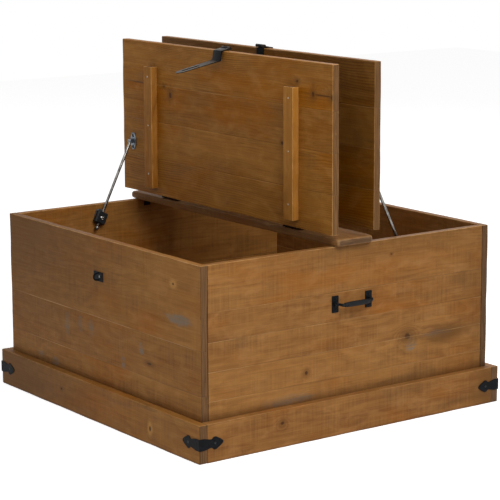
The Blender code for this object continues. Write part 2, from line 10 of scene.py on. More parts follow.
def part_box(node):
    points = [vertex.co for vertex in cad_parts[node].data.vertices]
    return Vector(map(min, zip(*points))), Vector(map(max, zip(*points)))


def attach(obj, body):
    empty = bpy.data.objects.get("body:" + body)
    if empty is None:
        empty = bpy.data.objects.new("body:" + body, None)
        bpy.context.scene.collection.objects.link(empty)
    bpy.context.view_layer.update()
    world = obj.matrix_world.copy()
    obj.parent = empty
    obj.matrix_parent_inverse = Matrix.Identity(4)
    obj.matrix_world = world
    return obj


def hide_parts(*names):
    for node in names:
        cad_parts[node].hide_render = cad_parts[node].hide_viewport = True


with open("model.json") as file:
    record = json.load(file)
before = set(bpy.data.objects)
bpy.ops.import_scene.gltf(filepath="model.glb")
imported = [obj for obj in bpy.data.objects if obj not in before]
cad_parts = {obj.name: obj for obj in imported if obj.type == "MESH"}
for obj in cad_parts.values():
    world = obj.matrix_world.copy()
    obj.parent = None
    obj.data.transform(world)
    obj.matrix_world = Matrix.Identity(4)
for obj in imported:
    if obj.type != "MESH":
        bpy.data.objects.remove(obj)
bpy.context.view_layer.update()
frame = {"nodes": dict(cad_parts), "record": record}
joints = {joint["name"]: joint for joint in frame["record"]["behaviour"]["joints"]}
scene = bpy.context.scene
scene.view_settings.view_transform = "Standard"

# Camera
# It stands where the photograph was taken from, a little above the lids, and looks at the
# chest's near right corner. Its place was worked out from the edges of the box.
CAMERA_PLACE = Vector((3.9391, -2.8365, 1.3095))
CAMERA_YAW, CAMERA_PITCH, CAMERA_ROLL = 0.943804, 0.191630, -0.004067
CAMERA_LENS, CAMERA_SENSOR = 141.58, 36.0
camera_data = bpy.data.cameras.new("photo_camera")
camera_data.lens = CAMERA_LENS
camera_data.sensor_width = CAMERA_SENSOR
camera = bpy.data.objects.new("photo_camera", camera_data)
scene.collection.objects.link(camera)
camera.matrix_world = (Matrix.Translation(CAMERA_PLACE) @ Matrix.Rotation(CAMERA_YAW, 4, "Z")
                       @ Matrix.Rotation(math.pi / 2 - CAMERA_PITCH, 4, "X")
                       @ Matrix.Rotation(CAMERA_ROLL, 4, "Z"))
scene.camera = camera

# Studio floor and light
# A white paper floor that shows as plain white to the camera and in reflections, and keeps a
# faint shadow. Three large soft lamps stand right, front and back, in an even grey room.
FLOOR_SIZE, FLOOR_DROP = 14.0, 0.0005
LAMPS = (
    ("right_lamp", (3.0, -0.6, 3.2), 2.0, 104.0),
    ("front_lamp", (0.8, -3.6, 3.2), 2.6, 2.0),
    ("back_lamp", (-1.8, 3.0, 3.4), 2.6, 38.0),
)
LAMP_TARGET = Vector((0.0, 0.0, 0.35))
PAPER, WHITE = "#E7E7E7", "#FFFFFF"
PAPER_GLOW, ROOM_LEVEL = 0.66, 0.37


def linear(code):
    """An sRGB hex colour as the linear values that a shader takes."""
    parts = [int(code[i:i + 2], 16) / 255 for i in (1, 3, 5)]
    return (*(c / 12.92 if c <= 0.04045 else ((c + 0.055) / 1.055) ** 2.4 for c in parts), 1.0)


def node(tree, kind, inputs=None, out=0, **settings):
    """Add a shader node with its settings, link or set its inputs, and give one output or all."""
    item = tree.nodes.new("ShaderNode" + kind)
    for key, value in settings.items():
        setattr(item, key, value)
    for key, value in (inputs or {}).items():
        if isinstance(value, bpy.types.NodeSocket):
            tree.links.new(value, item.inputs[key])
        else:
            item.inputs[key].default_value = value
    return item.outputs if out is None else item.outputs[out]


def empty_tree(owner):
    """The cleared node tree of a material or a world."""
    owner.use_nodes = True
    owner.node_tree.nodes.clear()
    return owner.node_tree


def looked_at(tree):
    """One where the camera, a reflection or a refraction looks, else nought."""
    rays = node(tree, "LightPath", out=None)
    seen = node(tree, "Math", {0: rays["Is Camera Ray"], 1: rays["Is Glossy Ray"]},
                operation="MAXIMUM")
    return node(tree, "Math", {0: seen, 1: rays["Is Transmission Ray"]}, operation="MAXIMUM")


# Matt paper, which gives the eye an even white with no sheen
paper = bpy.data.materials.new("matt_white_paper")
tree = empty_tree(paper)
matt = node(tree, "BsdfDiffuse", {"Color": linear(PAPER)})
glow = node(tree, "Emission", {"Color": linear(WHITE), "Strength": PAPER_GLOW})
both = node(tree, "AddShader", {0: matt, 1: glow})
mixed = node(tree, "MixShader", {0: looked_at(tree), 1: matt, 2: both})
node(tree, "OutputMaterial", {"Surface": mixed}, out=None)

floor_mesh = bpy.data.meshes.new("studio_floor")
edge = FLOOR_SIZE / 2
floor_mesh.from_pydata([(-edge, -edge, 0), (edge, -edge, 0), (edge, edge, 0), (-edge, edge, 0)],
                       [], [(0, 1, 2, 3)])
floor_mesh.materials.append(paper)
floor = bpy.data.objects.new("studio_floor", floor_mesh)
floor.location.z = -FLOOR_DROP
scene.collection.objects.link(floor)

room = bpy.data.worlds.new("even_room")
tree = empty_tree(room)
white = node(tree, "Background", {"Color": linear(WHITE), "Strength": 1.0})
grey = node(tree, "Background", {"Color": linear(WHITE), "Strength": ROOM_LEVEL})
mixed = node(tree, "MixShader", {0: looked_at(tree), 1: grey, 2: white})
node(tree, "OutputWorld", {"Surface": mixed}, out=None)
scene.world = room

for lamp_name, place, size, power in LAMPS:
    lamp_data = bpy.data.lights.new(lamp_name, "AREA")
    lamp_data.size = size
    lamp_data.energy = power
    lamp = bpy.data.objects.new(lamp_name, lamp_data)
    lamp.location = place
    lamp.rotation_euler = (LAMP_TARGET - Vector(place)).to_track_quat("-Z", "Y").to_euler()
    scene.collection.objects.link(lamp)

# Boards of stained and waxed pine
# Planed softwood glued up from narrow boards, stained honey brown, waxed, and rubbed back at
# the edges. It gives broad low-contrast rings, saw lines across the grain and grey patches.
BOARD_SHIFT = 3.7
PITH_ASIDE, PITH_BEHIND, PITH_NEAREST, RING_WANDER = 0.16, 0.07, 0.05, 0.075
# Real fibres are a tenth as wide. They are drawn this coarse to show.
RING_MM, FIBRE_MM, SAW_MM, FIBRE_STRETCH = 5.5, 2.2, 6.0, 40
PINE_PALE, PINE_DEEP, TONE_MIDDLE = "#B4824A", "#6C4626", 0.37
PINE_WARM, PINE_PINK, PINE_DULL = "#A4601F", "#A87C52", "#70502F"
PINE_WORN, PINE_END, PINE_END_PALE = "#BC9568", "#45301E", "#75583E"
# The second tint here is painted shade, for worn edges that face sideways and for the bottoms of
# panels and plinths
PINE_SEAM, PINE_PAINTED_SHADE = "#4A2D15", "#3C2414"
# The shade tint is painted shade over broad parts of a board
MARK_TINTS = (
    ("grey", 1.0, "#766B5D"), ("shade", 0.85, "#624120"), ("smudge", 0.52, "#5A3A1C"),
    ("halo", 0.70, "#B98A52"), ("knot", 0.80, "#3A2010"),
)
EDGE_FADE, HALO_FADE, SHADE_FADE = (1.15, 0.55), (3.6, 0.9), (1.6, 0.2)
BULGE_REACH, BULGE_SIZE = 5.0, 2.2
WAX_IOR, WAX_SHINE, WAX_ROUGH, RELIEF_MM = 1.5, 0.12, (0.46, 0.66), 0.7
# How one colour is laid over another, and how a mark fades out
BLEND, EASED = {"out": 2, "data_type": "RGBA"}, {"interpolation_type": "SMOOTHSTEP"}
BOARD_STEP, EDGE_INSETS, END_REACH, END_WEAR = 0.018, (0.0, 0.4, 0.9, 1.7), 0.030, 1.65
WEAR_CELLS, WEAR_LEAST, WEAR_USUAL, WEAR_SWING = (14.0, 70.0), 0.25, 0.55, 0.9
BOARD_SHARP = math.radians(50)


def stained_pine(name, along, across, deep, seams=(), marks=(), seed=0.0, light=1.0, rich=1.0,
                 rub=0.85, figure=1.0, saws=1.0, joints_show=0.65, edge_shade=0.0, foot_shade=None,
                 top=None):
    """Pine with its rings round a pith behind each board.

    A mark is a knot, a knot with a pale halo (eye), a grey patch or a painted shade over a broad
    part (shade), with its place and reach. Foot shade is the height, spread and strength of a
    painted shade along the bottom of the board. Top shade is where a painted shade on the upper
    face begins, where that face lies, and its light. Edge shade is the share of painted shade on
    worn edges that face sideways.
    """
    material = bpy.data.materials.new(name)
    tree = empty_tree(material)
    coords = node(tree, "TexCoord", out=None)
    axes = dict(zip("XYZ", node(tree, "SeparateXYZ", {0: coords["Object"]}, out=None)))
    a, b, n = axes[along], axes[across], axes[deep]

    # Which glued board this is, and a few chances of its own
    number = node(tree, "Value")
    number.default_value = seed
    gap = None
    for seam in seams:
        past = node(tree, "Math", {0: b, 1: seam}, operation="GREATER_THAN")
        number = node(tree, "Math", {0: number, 1: past}, operation="ADD")
        off = node(tree, "Math", {0: b, 1: seam}, operation="SUBTRACT")
        off = node(tree, "Math", {0: off}, operation="ABSOLUTE")
        gap = off if gap is None else node(tree, "Math", {0: gap, 1: off}, operation="MINIMUM")
    chance = node(tree, "TexWhiteNoise", {"W": number}, out=1, noise_dimensions="1D")
    c1, c2, c3 = node(tree, "SeparateXYZ", {0: chance}, out=None)
    slide = node(tree, "Math", {0: number, 1: BOARD_SHIFT, 2: a}, operation="MULTIPLY_ADD")
    v = node(tree, "CombineXYZ", {0: slide, 1: b, 2: n})

    def grain(cells, detail=2.0, rough=0.5, warp=0.0):
        """Noise with so many cells a metre along, across and through the board."""
        spread = node(tree, "VectorMath", {0: v, 1: cells}, operation="MULTIPLY")
        return node(tree, "TexNoise", {"Vector": spread, "Scale": 1.0, "Detail": detail,
                                       "Roughness": rough, "Distortion": warp})

    # Growth rings round a pith that wanders behind the board
    side = node(tree, "Math", {0: c1, 1: -PITH_ASIDE, 2: b}, operation="MULTIPLY_ADD")
    behind = node(tree, "Math", {0: c2, 1: PITH_BEHIND, 2: n}, operation="MULTIPLY_ADD")
    pith = node(tree, "CombineXYZ", {0: side, 1: behind})
    centre = (sum(seams) / len(seams) if seams else 0.0) - PITH_ASIDE / 2
    pith = node(tree, "VectorMath", {0: pith, 1: (-centre, PITH_NEAREST, 0.0)}, operation="ADD")
    ring = node(tree, "VectorMath", {0: pith}, out=1, operation="LENGTH")
    wander = grain((1.7, 7.0, 7.0), 2.5)
    ring = node(tree, "Math", {0: wander, 1: RING_WANDER, 2: ring}, operation="MULTIPLY_ADD")

    # Knots push the rings aside, grey patches are where stain was rubbed through, and shade marks
    # are painted shade over broad parts of a board
    ragged = grain((45.0, 60.0, 60.0), 4.0, 0.6)
    ragged = node(tree, "Math", {0: ragged, 1: 1.5, 2: -0.75}, operation="MULTIPLY_ADD")
    masks = dict.fromkeys((kind for kind, _, _ in MARK_TINTS), 0.0)
    for kind, place_a, place_b, reach_a, reach_b in marks:
        off = []
        for axis, place, reach in ((a, place_a, reach_a), (b, place_b, reach_b)):
            far = node(tree, "Math", {0: axis, 1: place}, operation="SUBTRACT")
            off.append(node(tree, "Math", {0: far, 1: reach}, operation="DIVIDE"))
        away = node(tree, "CombineXYZ", {0: off[0], 1: off[1]})
        away = node(tree, "VectorMath", {0: away}, out=1, operation="LENGTH")
        rough_away = node(tree, "Math", {0: away, 1: ragged}, operation="ADD")
        if kind == "shade":
            soft_away = node(tree, "Math", {0: ragged, 1: 0.4, 2: away}, operation="MULTIPLY_ADD")
            fades = (("shade", soft_away, *SHADE_FADE),)
        elif kind == "grey":
            fades = (("grey", rough_away, *EDGE_FADE),)
        else:
            bulge = node(tree, "MapRange", {"Value": away, "From Min": BULGE_REACH, "From Max": 0,
                                            "To Max": reach_b * BULGE_SIZE},
                         interpolation_type="SMOOTHERSTEP")
            ring = node(tree, "Math", {0: ring, 1: bulge}, operation="ADD")
            fades = (("knot", rough_away, *EDGE_FADE),
                     ("halo" if kind == "eye" else "smudge", rough_away, *HALO_FADE))
        for mask_name, distance, outer, inner in fades:
            mask = node(tree, "MapRange", {"Value": distance, "From Min": outer,
                                           "From Max": inner}, **EASED)
            masks[mask_name] = node(tree, "Math", {0: masks[mask_name], 1: mask},
                                    operation="MAXIMUM")
    turns = node(tree, "Math", {0: ring, 1: RING_MM / 1000}, operation="DIVIDE")
    turns = node(tree, "Math", {0: turns}, operation="FRACT")
    late, early = (node(tree, "MapRange", {"Value": turns, "From Min": first, "From Max": 0.9},
                        **EASED) for first in (0.25, 1.0))
    late = node(tree, "Math", {0: late, 1: early}, operation="MULTIPLY")

    # Fibres along the grain, saw lines across it, and slow changes of the stain
    fibre = grain((1000 / FIBRE_MM / FIBRE_STRETCH, 1000 / FIBRE_MM, 1000 / FIBRE_MM), 3.0, 0.6)
    streak = grain((2.5, 120.0, 120.0), 3.0, 0.55)
    saw = grain((1000 / SAW_MM, 5.0, 5.0), 3.0, 0.6)
    cloud = grain((3.5, 9.0, 9.0), 4.0, 0.6)
    dull = grain((6.0, 17.0, 17.0), 4.0, 0.62, 0.6)
    patch = grain((15.0, 30.0, 30.0), 3.0, 0.6, 0.5)
    shown = node(tree, "MapRange", {"Value": wander, "From Min": 0.38, "From Max": 0.66,
                                    "To Min": 0.03 * figure, "To Max": 0.16 * figure})
    rings = node(tree, "Math", {0: late, 1: shown}, operation="MULTIPLY")
    sawn = node(tree, "MapRange", {"Value": dull, "From Min": 0.42, "From Max": 0.62,
                                   "To Min": 0.08 * saws, "To Max": 0.80 * saws})
    saw_tone = node(tree, "Math", {0: saw, 1: 0.5}, operation="SUBTRACT")
    saw_tone = node(tree, "Math", {0: saw_tone, 1: sawn}, operation="MULTIPLY")
    tone = node(tree, "Math", {0: rings, 1: saw_tone}, operation="ADD")
    for pattern, weight in ((fibre, 0.45), (streak, 0.42), (patch, 0.35), (cloud, 0.60),
                            (c3, 0.18)):
        tone = node(tree, "Math", {0: pattern, 1: weight, 2: tone}, operation="MULTIPLY_ADD")
    tone = node(tree, "Math", {0: tone, 1: TONE_MIDDLE}, operation="SUBTRACT", use_clamp=True)
    colour = node(tree, "Mix", {0: tone, 6: linear(PINE_PALE), 7: linear(PINE_DEEP)}, **BLEND)
    for pattern, first, last, most, tint in (
            (cloud, 0.45, 0.72, 0.34, PINE_WARM), (patch, 0.52, 0.28, 0.24, PINE_PINK),
            (dull, 0.50, 0.76, 0.55, PINE_DULL)):
        share = node(tree, "MapRange", {"Value": pattern, "From Min": first, "From Max": last,
                                        "To Max": most}, **EASED)
        colour = node(tree, "Mix", {0: share, 6: colour, 7: linear(tint)}, **BLEND)
    thin = node(tree, "MapRange", {"Value": streak, "From Min": 0.40, "From Max": 0.62,
                                   "To Min": 0.20, "To Max": 0.85})
    masks["grey"] = node(tree, "Math", {0: masks["grey"], 1: thin}, operation="MULTIPLY")
    for kind, strength, tint in MARK_TINTS:
        share = node(tree, "Math", {0: masks[kind], 1: strength}, operation="MULTIPLY")
        colour = node(tree, "Mix", {0: share, 6: colour, 7: linear(tint)}, **BLEND)

    # Glue joints, dark along part of their length and rubbed pale along the rest
    groove = 0.0
    if gap is not None:
        groove = node(tree, "MapRange", {"Value": gap, "From Min": 0.0019, "From Max": 0.0002},
                      **EASED)
        along_seam = grain((5.0, 1.0, 1.0), 2.0)
        for first, last, tint in ((0.52, 0.66, PINE_SEAM), (0.47, 0.36, PINE_WORN)):
            shown = node(tree, "MapRange", {"Value": along_seam, "From Min": first,
                                            "From Max": last, "To Min": joints_show / 8,
                                            "To Max": joints_show})
            shown = node(tree, "Math", {0: groove, 1: shown}, operation="MULTIPLY")
            colour = node(tree, "Mix", {0: shown, 6: colour, 7: linear(tint)}, **BLEND)

    # End grain is greyer and rougher. Worn edges are rubbed pale, partly as painted highlight
    # where they face up or down, and on boards with edge shade they take painted shade where they
    # face sideways
    facing = dict(zip("XYZ", node(tree, "SeparateXYZ", {0: coords["Normal"]}, out=None)))
    end = node(tree, "Math", {0: facing[along]}, operation="ABSOLUTE")
    end = node(tree, "MapRange", {"Value": end, "From Min": 0.6, "From Max": 0.9, "To Max": 0.92})
    rays = grain((1.0, 14.0, 650.0), 3.0, 0.6)
    rays = node(tree, "MapRange", {"Value": rays, "From Min": 0.32, "From Max": 0.68})
    end_tone = node(tree, "Mix", {0: rays, 6: linear(PINE_END), 7: linear(PINE_END_PALE)}, **BLEND)
    wear = node(tree, "Attribute", out=2, attribute_name="wear")
    wear = node(tree, "Math", {0: ragged, 1: wear}, operation="ADD")
    wear = node(tree, "MapRange", {"Value": wear, "From Min": 0.22, "From Max": 0.80,
                                   "To Max": rub}, **EASED)
    lying = node(tree, "Math", {0: facing["Z"]}, operation="ABSOLUTE")
    lying = node(tree, "MapRange", {"Value": lying, "From Min": 0.12, "From Max": 0.45,
                                    "To Min": 1.0 - edge_shade})
    pale = node(tree, "Math", {0: wear, 1: lying}, operation="MULTIPLY")
    painted_edge_shade = node(tree, "Math", {0: wear, 1: pale}, operation="SUBTRACT")
    layers = [(end, end_tone), (pale, linear(PINE_WORN)), (painted_edge_shade, linear(PINE_PAINTED_SHADE))]
    # Painted shade, darker towards the bottom of the board
    if foot_shade:
        height, spread, strength = foot_shade
        low = node(tree, "Math", {0: ragged, 1: spread * 0.35, 2: axes["Z"]},
                   operation="MULTIPLY_ADD")
        low = node(tree, "MapRange", {"Value": low, "From Min": height + spread,
                                      "From Max": height, "To Max": strength}, **EASED)
        layers.append((low, linear(PINE_PAINTED_SHADE)))
    for share, tint in layers:
        colour = node(tree, "Mix", {0: share, 6: colour, 7: tint}, **BLEND)
    # Painted shade on the upper face, over its outer few millimetres
    if top:
        light = node(tree, "MapRange", {"Value": n, "From Min": top[0], "From Max": top[1],
                                        "To Min": light, "To Max": top[2]})
    colour = node(tree, "HueSaturation", {"Saturation": rich, "Value": light, "Color": colour})

    # Waxed surface: duller where the grain is open, with fine relief
    rough = node(tree, "MapRange", {"Value": fibre, "From Min": 0.3, "From Max": 0.7,
                                    "To Min": WAX_ROUGH[0], "To Max": WAX_ROUGH[1]})
    relief = 0.0
    for pattern, height in ((fibre, 0.5), (saw_tone, 0.9), (late, 0.18), (groove, -1.4)):
        relief = node(tree, "Math", {0: pattern, 1: height, 2: relief}, operation="MULTIPLY_ADD")
    bump = node(tree, "Bump", {"Strength": 0.55, "Distance": RELIEF_MM / 1000,
                               "Height": relief})
    shader = node(tree, "BsdfPrincipled", {"Base Color": colour, "Roughness": rough,
                                           "Normal": bump, "IOR": WAX_IOR,
                                           "Specular IOR Level": WAX_SHINE})
    node(tree, "OutputMaterial", {"Surface": shader}, out=None)
    return material


def worn_board(name, low, high, soft, seed, ends=None):
    """A board on a fine grid whose edges are rounded unevenly, with 'wear' on the rubbed parts.

    Where ends names an axis, the edges are rounder still near both ends of it.
    """
    stations = []
    for lo, hi in zip(low, high):
        inset = [soft * share for share in EDGE_INSETS]
        inner = hi - lo - 2 * inset[-1]
        count = max(1, round(inner / BOARD_STEP))
        middle = [lo + inset[-1] + inner * i / count for i in range(1, count)]
        stations.append([lo + d for d in inset] + middle + [hi - d for d in reversed(inset)])
    index, points, wear, faces = {}, [], [], []

    def corner(key):
        if key not in index:
            point = Vector([stations[axis][key[axis]] for axis in range(3)])
            chance = noise.noise(point * WEAR_CELLS[0] + Vector((seed, 0, 0)))
            chance += 0.5 * noise.noise(point * WEAR_CELLS[1] + Vector((0, seed, 0)))
            share = min(1.0, max(WEAR_LEAST, WEAR_USUAL + WEAR_SWING * chance))
            if ends is not None:
                near_end = min(point[ends] - low[ends], high[ends] - point[ends])
                share = max(share, END_WEAR - near_end / END_REACH)
            radius = soft * share
            core = Vector([min(max(c, lo + radius), hi - radius)
                           for c, lo, hi in zip(point, low, high)])
            off = point - core
            index[key] = len(points)
            points.append(core + off.normalized() * radius)
            wear.append(min(1.0, max(0.0, (off.length - radius) / (0.4 * radius))))
        return index[key]

    for axis in range(3):
        u, v = (axis + 1) % 3, (axis + 2) % 3
        for end in (0, len(stations[axis]) - 1):
            for i in range(len(stations[u]) - 1):
                for j in range(len(stations[v]) - 1):
                    quad = []
                    for di, dj in ((0, 0), (1, 0), (1, 1), (0, 1)):
                        key = [0, 0, 0]
                        key[axis], key[u], key[v] = end, i + di, j + dj
                        quad.append(corner(tuple(key)))
                    faces.append(quad if end else quad[::-1])
    mesh = bpy.data.meshes.new(name)
    mesh.from_pydata(points, [], faces)
    mesh.attributes.new("wear", "FLOAT", "POINT").data.foreach_set("value", wear)
    mesh.shade_smooth()
    mesh.set_sharp_from_angle(angle=BOARD_SHARP)
    item = bpy.data.objects.new(name, mesh)
    scene.collection.objects.link(item)
    return item


def pine_board(cad_name, body, axes, soft=0.0026, seams=(), marks=(), slot="pine", ends=None,
               **tone):
    """Dress one CAD board: same place and size, with worn edges and its own stretch of pine.

    The axes run along the grain, across it and through the board.
    """
    low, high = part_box(cad_name)
    seed = float(len(bpy.data.materials))
    item = worn_board(cad_name + "_board", low, high, soft, seed, ends)
    item.data.materials.append(stained_pine("pine_" + cad_name, *axes, seams, marks, seed, **tone))
    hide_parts(cad_name)
    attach(item, body)


# Panels of the box
# Four panels glued up from narrow boards, the front and back ones full width with their end
# grain on the sides. They are nailed and glued at the corners.
# Painted shade on worn edges that face sideways, and along the bottom of each panel
PANEL_SHADE = {"edge_shade": 1.0, "foot_shade": (0.0885, 0.0300, 0.50)}
FRONT_SEAMS = (0.1480, 0.2520)
SIDE_SEAMS = (0.0660, 0.1335, 0.2010, 0.2700, 0.3387)
FRONT_MARKS = (
    ("eye", 0.3202, 0.3895, 0.006, 0.0044),
    ("knot", 0.2184, 0.1829, 0.011, 0.003),
    ("grey", 0.34, 0.31, 0.05, 0.015),
    ("grey", 0.1829, 0.2122, 0.012, 0.015),
    ("grey", 0.1046, 0.1658, 0.011, 0.02),
    ("grey", -0.1507, 0.2085, 0.013, 0.034),
    ("grey", -0.0898, 0.2221, 0.011, 0.026),
    ("grey", -0.0385, 0.22, 0.015, 0.022),
    ("grey", -0.2841, 0.108, 0.018, 0.011),
    ("grey", -0.2127, 0.102, 0.02, 0.012),
    # Painted shade, darker towards the top left
    ("shade", -0.47, 0.47, 0.55, 0.3),
)
RIGHT_MARKS = (
    ("knot", -0.1337, 0.159, 0.0048, 0.0055),
    ("knot", 0.172, 0.204, 0.011, 0.008),
    ("knot", 0.1205, 0.4105, 0.003, 0.0022),
    ("grey", 0.185, 0.18, 0.018, 0.016),
    ("grey", 0.27, 0.195, 0.045, 0.011),
    ("grey", -0.18, 0.104, 0.08, 0.012),
    # Painted shade, darker towards the far end and along the top
    ("shade", 0.3, 0.193, 0.085, 0.022),
    ("shade", 0.58, 0.25, 0.2, 0.35),
    ("shade", 0.18, 0.54, 0.45, 0.12),
)
pine_board("front_panel", "chest", "XZY", seams=FRONT_SEAMS, marks=FRONT_MARKS, light=1.08,
           rich=1.06, **PANEL_SHADE)
pine_board("back_panel", "chest", "XZY", seams=SIDE_SEAMS, light=0.82, rich=1.05, **PANEL_SHADE,
           marks=(("knot", 0.21, 0.30, 0.007, 0.006), ("knot", -0.12, 0.17, 0.006, 0.005),
                  ("grey", -0.26, 0.33, 0.05, 0.012)))
pine_board("right_panel", "chest", "YZX", seams=SIDE_SEAMS, marks=RIGHT_MARKS, light=1.06,
           rich=1.03, joints_show=0.5, **PANEL_SHADE)
pine_board("left_panel", "chest", "YZX", seams=FRONT_SEAMS, light=1.08, rich=1.05, **PANEL_SHADE,
           marks=(("knot", 0.14, 0.22, 0.007, 0.005), ("grey", -0.2, 0.29, 0.04, 0.012)))

# Plinth boards
# One plain board on each side, the front and back ones lapping the ends of the others.
# They are planed like the panels and scuffed more.
# Painted shade on worn edges that face sideways, and along the foot
PLINTH_WEAR_AND_SHADE = {"soft": 0.0028, "edge_shade": 1.0, "rub": 0.35, "foot_shade": (-0.0020, 0.0080, 0.60)}
# The shade mark here is painted shade at the left end
pine_board("plinth_front", "chest", "XZY", light=1.05, rich=1.06, **PLINTH_WEAR_AND_SHADE,
           marks=(("shade", -0.52, 0.05, 0.45, 0.2), ("eye", 0.25, 0.038, 0.0045, 0.007),
                  ("knot", -0.15, 0.048, 0.004, 0.003)))
pine_board("plinth_back", "chest", "XZY", **PLINTH_WEAR_AND_SHADE,
           marks=(("knot", -0.2, 0.05, 0.008, 0.007),))
# The shade mark here is painted shade at the far end
pine_board("plinth_right", "chest", "YZX", light=1.12, rich=1.03, **PLINTH_WEAR_AND_SHADE,
           marks=(("knot", -0.22, 0.058, 0.006, 0.005), ("shade", 0.47, 0.042, 0.11, 0.09)))
pine_board("plinth_left", "chest", "YZX", **PLINTH_WEAR_AND_SHADE,
           marks=(("knot", 0.1, 0.04, 0.007, 0.006),))

# Floor and its cleats
# A plywood sheet that lies on four sawn cleats inside the box, out of sight from the front.
# Its face veneer runs left to right and takes the same stain.
SAWN_SOFT, VENEER_SEAMS = 0.0012, (-0.2, 0.0, 0.2)
pine_board("floor_panel", "chest", "XYZ", SAWN_SOFT, VENEER_SEAMS, slot="plywood")
for side_name, axes in (("front", "XZY"), ("back", "XZY"), ("left", "YZX"), ("right", "YZX")):
    pine_board("cleat_" + side_name, "chest", axes, SAWN_SOFT)

# Centre rail
# A plank across the middle that carries both lids, with rounded and scuffed ends that pass
# the side panels.
RAIL_SOFT = 0.0052
pine_board("centre_rail", "chest", "XYZ", RAIL_SOFT, ends=0, rub=0.25, light=0.9,
           marks=(("knot", -0.30, 0.02, 0.008, 0.006),))

# Lids
# Each is glued up from four boards and stands open here. The front one's underside faces the
# camera, with a knot and a check at its right end.
LID_SEAMS = (0.572, 0.668, 0.765)
LID_MARKS = (
    ("knot", 0.3724, 0.7995, 0.006, 0.0075),
    ("knot", 0.412, 0.7985, 0.043, 0.0013),
    ("knot", 0.444, 0.7965, 0.008, 0.008),
    ("knot", 0.2534, 0.6728, 0.0045, 0.004),
    ("knot", -0.2217, 0.742, 0.006, 0.009),
    ("knot", -0.37, 0.765, 0.03, 0.0012),
    ("knot", 0.3117, 0.8244, 0.005, 0.004),
    ("knot", -0.25, 0.764, 0.004, 0.003),
)
# Painted shade darkens each lid's upper face, which faces the other lid while they stand open, and
# spares the undersides and edges
LID_TOP_LIGHT, LID_SHADE_DEPTH = 0.74, 0.003
front_top, back_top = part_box("front_lid")[1][1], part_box("back_lid")[0][1]
pine_board("front_lid", "front_lid_set", "XZY", seams=LID_SEAMS, marks=LID_MARKS, light=1.20,
           rich=1.10, figure=2.0, saws=0.3, joints_show=0.4,
           top=(front_top - LID_SHADE_DEPTH, front_top, LID_TOP_LIGHT))
pine_board("back_lid", "back_lid_set", "XZY", seams=LID_SEAMS, light=1.10, rich=1.10, figure=1.8,
           saws=0.4, joints_show=0.5, top=(back_top + LID_SHADE_DEPTH, back_top, LID_TOP_LIGHT),
           marks=(("knot", 0.11, 0.71, 0.007, 0.006), ("knot", -0.31, 0.60, 0.006, 0.005)))

# Battens
# Two straight battens across each lid's underside keep it flat. They are of clearer, more
# orange pine, with the grain running up them.
BATTEN_SOFT = 0.0016
for end in ("front", "back"):
    for side_name in ("left", "right"):
        pine_board(f"{end}_batten_{side_name}", f"{end}_lid_set", "ZXY", BATTEN_SOFT, light=1.38,
                   rich=1.09, figure=1.5, saws=0.2, slot="batten_pine")

# Wood screws in the battens
# Three zinc-plated steel screws through each batten, countersunk level with its face. Their
# cross recess is pressed.
ENDS = (("front", 1), ("back", -1))
BATTEN_SCREW_Z = (0.5340, 0.6597, 0.7850)
BATTEN_SCREW_R, BATTEN_SCREW_DOME, BATTEN_SCREW_SUNK = 0.0026, 0.0005, 0.0001
SLOT_HALF, CROSS_REACH, RECESS_DEPTH, RIM_SHARE = 0.14, 0.72, 0.75, 0.35
SCREW_STEPS = (-1.0, -0.88, -CROSS_REACH, -0.55, -0.24, -SLOT_HALF,
               SLOT_HALF, 0.24, 0.55, CROSS_REACH, 0.88, 1.0)
FIRST_SPIN, NEXT_SPIN = 0.3, 0.7
CLOUD_MM, METAL_SHARP = 11.76, math.radians(38)


def metal(name, light, dark, grit_mm, rough, relief_mm, metallic=1.0, shine=0.5):
    """Metal, enamel or nylon in two close tones, with grit along each axis and fine relief.

    The grit is much coarser than the real one, so that it shows.
    """
    material = bpy.data.materials.new(name)
    tree = empty_tree(material)
    place = node(tree, "TexCoord", out=3)
    cells = [1000 / mm for mm in grit_mm]
    drawn = node(tree, "VectorMath", {0: place, 1: cells}, operation="MULTIPLY")
    fine = node(tree, "TexNoise", {"Vector": drawn, "Scale": 1.0, "Detail": 4.0})
    patch = node(tree, "TexNoise", {"Vector": place, "Scale": 1000 / CLOUD_MM, "Detail": 5.0,
                                    "Roughness": 0.62})
    share = node(tree, "Math", {0: fine, 1: patch}, operation="ADD")
    share = node(tree, "MapRange", {"Value": share, "From Min": 0.78, "From Max": 1.25}, **EASED)
    colour = node(tree, "Mix", {0: share, 6: linear(dark), 7: linear(light)}, **BLEND)
    polish = node(tree, "MapRange", {"Value": patch, "From Min": 0.3, "From Max": 0.7,
                                     "To Min": rough[0], "To Max": rough[1]})
    height = node(tree, "Math", {0: patch, 1: 0.6, 2: fine}, operation="MULTIPLY_ADD")
    bump = node(tree, "Bump", {"Strength": 0.6, "Distance": relief_mm / 1000,
                               "Height": height})
    shader = node(tree, "BsdfPrincipled", {
        "Base Color": colour, "Roughness": polish, "Normal": bump, "Metallic": metallic,
        "Specular IOR Level": shine})
    node(tree, "OutputMaterial", {"Surface": shader}, out=None)
    return material


def join_body(item, body, material):
    """Give a new piece its material and body."""
    item.data.materials.append(material)
    item.data.shade_smooth()
    item.data.set_sharp_from_angle(angle=METAL_SHARP)
    scene.collection.objects.link(item)
    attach(item, body)


